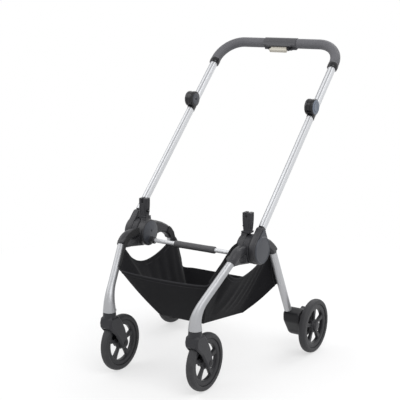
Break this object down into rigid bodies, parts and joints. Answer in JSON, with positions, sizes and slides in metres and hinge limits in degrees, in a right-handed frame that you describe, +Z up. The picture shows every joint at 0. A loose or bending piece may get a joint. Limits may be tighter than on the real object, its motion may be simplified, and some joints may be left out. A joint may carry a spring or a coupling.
{
  "type": "pushchair chassis",
  "caption": "Folding pushchair chassis: swivel front wheels, fixed rear wheels, hub joints, a tilting push handle and a hanging cloth basket.",
  "frame": {"origin": "on the floor, under the middle of the chassis in length and width", "axes": "+Z up from the floor to the handle, -Y towards the front wheels, +X towards the left-hand side of a person in the seat"},
  "size_m": [0.596, 0.8519, 1.0197],
  "materials": {
    "satin_aluminium": "satin",
    "dark_plastic": "matt",
    "charcoal_plastic": "satin",
    "blue_grey_plastic": "satin",
    "grey_grip": "matt grain",
    "off_white_plastic": "matt",
    "tyre_rubber": "matt",
    "wheel_plastic": "satin",
    "steel_pin": "satin",
    "black_cloth": "woven"
  },
  "bodies": {
    "front_frame": {"hub_left_body": "charcoal_plastic", "hub_right_body": "charcoal_plastic", "hub_left_pin": "steel_pin", "hub_right_pin": "steel_pin", "front_left_leg": "satin_aluminium", "front_right_leg": "satin_aluminium", "seat_adapter_left": "dark_plastic", "seat_adapter_right": "dark_plastic", "crossbar": "satin_aluminium", "crossbar_sleeve": "grey_grip", "basket": "black_cloth", "front_left_swivel_stem": "steel_pin", "front_right_swivel_stem": "steel_pin"},
    "handle_lower": {"hub_left_handle_socket": "charcoal_plastic", "hub_right_handle_socket": "charcoal_plastic", "hub_left_cover": "blue_grey_plastic", "hub_right_cover": "blue_grey_plastic", "handle_left_lower_tube": "satin_aluminium", "handle_right_lower_tube": "satin_aluminium", "knuckle_left_cheeks": "dark_plastic", "knuckle_right_cheeks": "dark_plastic"},
    "handle_upper": {"handle_upper_tube": "satin_aluminium", "grip_left": "grey_grip", "grip_right": "grey_grip", "grip_left_collar": "dark_plastic", "grip_right_collar": "dark_plastic", "knuckle_left_tongue": "dark_plastic", "knuckle_right_tongue": "dark_plastic", "release_housing_front": "charcoal_plastic", "release_housing_rear": "charcoal_plastic"},
    "rear_frame": {"rear_left_arm": "dark_plastic", "rear_right_arm": "dark_plastic", "rear_left_leg": "satin_aluminium", "rear_right_leg": "satin_aluminium", "rear_left_housing": "dark_plastic", "rear_right_housing": "dark_plastic", "rear_left_axle": "steel_pin", "rear_right_axle": "steel_pin"},
    "lever": {"release_lever": "off_white_plastic"},
    "slider": {"release_slider": "dark_plastic"},
    "pedal": {"brake_pedal": "dark_plastic"},
    "knuckle_button_left": {"knuckle_left_button": "blue_grey_plastic"},
    "latch_left": {"seat_latch_left": "dark_plastic"},
    "caster_left": {"front_left_fork": "dark_plastic", "front_left_axle": "steel_pin"},
    "front_wheel_left": {"front_left_rim": "wheel_plastic", "front_left_tyre": "tyre_rubber"},
    "rear_wheel_left": {"rear_left_rim": "wheel_plastic", "rear_left_tyre": "tyre_rubber"},
    "swivel_lock_left": {"front_left_swivel_lock": "dark_plastic"},
    "knuckle_button_right": {"knuckle_right_button": "blue_grey_plastic"},
    "latch_right": {"seat_latch_right": "dark_plastic"},
    "caster_right": {"front_right_fork": "dark_plastic", "front_right_axle": "steel_pin"},
    "front_wheel_right": {"front_right_rim": "wheel_plastic", "front_right_tyre": "tyre_rubber"},
    "rear_wheel_right": {"rear_right_rim": "wheel_plastic", "rear_right_tyre": "tyre_rubber"},
    "swivel_lock_right": {"front_right_swivel_lock": "dark_plastic"}
  },
  "joints": [
    {"name": "handle_fold", "type": "hinge", "parent": "front_frame", "child": "handle_lower", "pos_m": [0, -0.14645, 0.4062], "axis": [1, 0, 0], "range_deg": [0, 150]},
    {"name": "rear_fold", "type": "hinge", "parent": "front_frame", "child": "rear_frame", "pos_m": [0, -0.14645, 0.4062], "axis": [1, 0, 0], "range_deg": [-37.5, 0]},
    {"name": "handle_tilt", "type": "hinge", "parent": "handle_lower", "child": "handle_upper", "pos_m": [0, 0.18985, 0.8111], "axis": [1, 0, 0], "range_deg": [-35, 35]},
    {"name": "lever_squeeze", "type": "slide", "parent": "handle_upper", "child": "lever", "axis": [0, 0.7093, 0.7049], "range_m": [0, 0.004], "stiffness_N_per_m": 600, "springref_m": -0.003},
    {"name": "slider_push", "type": "slide", "parent": "handle_upper", "child": "slider", "axis": [1, 0, 0], "range_m": [0, 0.004]},
    {"name": "brake", "type": "hinge", "parent": "rear_frame", "child": "pedal", "pos_m": [0.233, 0.13905, 0.09], "axis": [1, 0, 0], "range_deg": [-15, 0]},
    {"name": "knuckle_button_left_press", "type": "slide", "parent": "handle_lower", "child": "knuckle_button_left", "axis": [-1, 0, 0], "range_m": [0, 0.003], "stiffness_N_per_m": 400, "springref_m": -0.002},
    {"name": "latch_left_slide", "type": "slide", "parent": "front_frame", "child": "latch_left", "axis": [1, 0, 0], "range_m": [0, 0.003], "stiffness_N_per_m": 400, "springref_m": -0.002},
    {"name": "caster_left_swivel", "type": "hinge", "parent": "front_frame", "child": "caster_left", "pos_m": [0.1595, -0.38845, 0.09], "axis": [0, 0, 1], "continuous": true},
    {"name": "front_wheel_left_roll", "type": "hinge", "parent": "caster_left", "child": "front_wheel_left", "pos_m": [0.1595, -0.33645, 0.09], "axis": [1, 0, 0], "continuous": true},
    {"name": "rear_wheel_left_roll", "type": "hinge", "parent": "rear_frame", "child": "rear_wheel_left", "pos_m": [0.283, 0.13905, 0.09], "axis": [1, 0, 0], "continuous": true},
    {"name": "swivel_lock_left_slide", "type": "slide", "parent": "caster_left", "child": "swivel_lock_left", "axis": [0, 0, 1], "range_m": [0, 0.004]},
    {"name": "knuckle_button_right_press", "type": "slide", "parent": "handle_lower", "child": "knuckle_button_right", "axis": [1, 0, 0], "range_m": [0, 0.003], "stiffness_N_per_m": 400, "springref_m": -0.002},
    {"name": "latch_right_slide", "type": "slide", "parent": "front_frame", "child": "latch_right", "axis": [-1, 0, 0], "range_m": [0, 0.003], "stiffness_N_per_m": 400, "springref_m": -0.002},
    {"name": "caster_right_swivel", "type": "hinge", "parent": "front_frame", "child": "caster_right", "pos_m": [-0.1595, -0.38845, 0.09], "axis": [0, 0, 1], "continuous": true},
    {"name": "front_wheel_right_roll", "type": "hinge", "parent": "caster_right", "child": "front_wheel_right", "pos_m": [-0.1595, -0.33645, 0.09], "axis": [1, 0, 0], "continuous": true},
    {"name": "rear_wheel_right_roll", "type": "hinge", "parent": "rear_frame", "child": "rear_wheel_right", "pos_m": [-0.283, 0.13905, 0.09], "axis": [1, 0, 0], "continuous": true},
    {"name": "swivel_lock_right_slide", "type": "slide", "parent": "caster_right", "child": "swivel_lock_right", "axis": [0, 0, 1], "range_m": [0, 0.004]}
  ],
  "couplings": [
    {"joint": "rear_fold", "follows": "handle_fold", "ratio": -0.25}
  ]
}
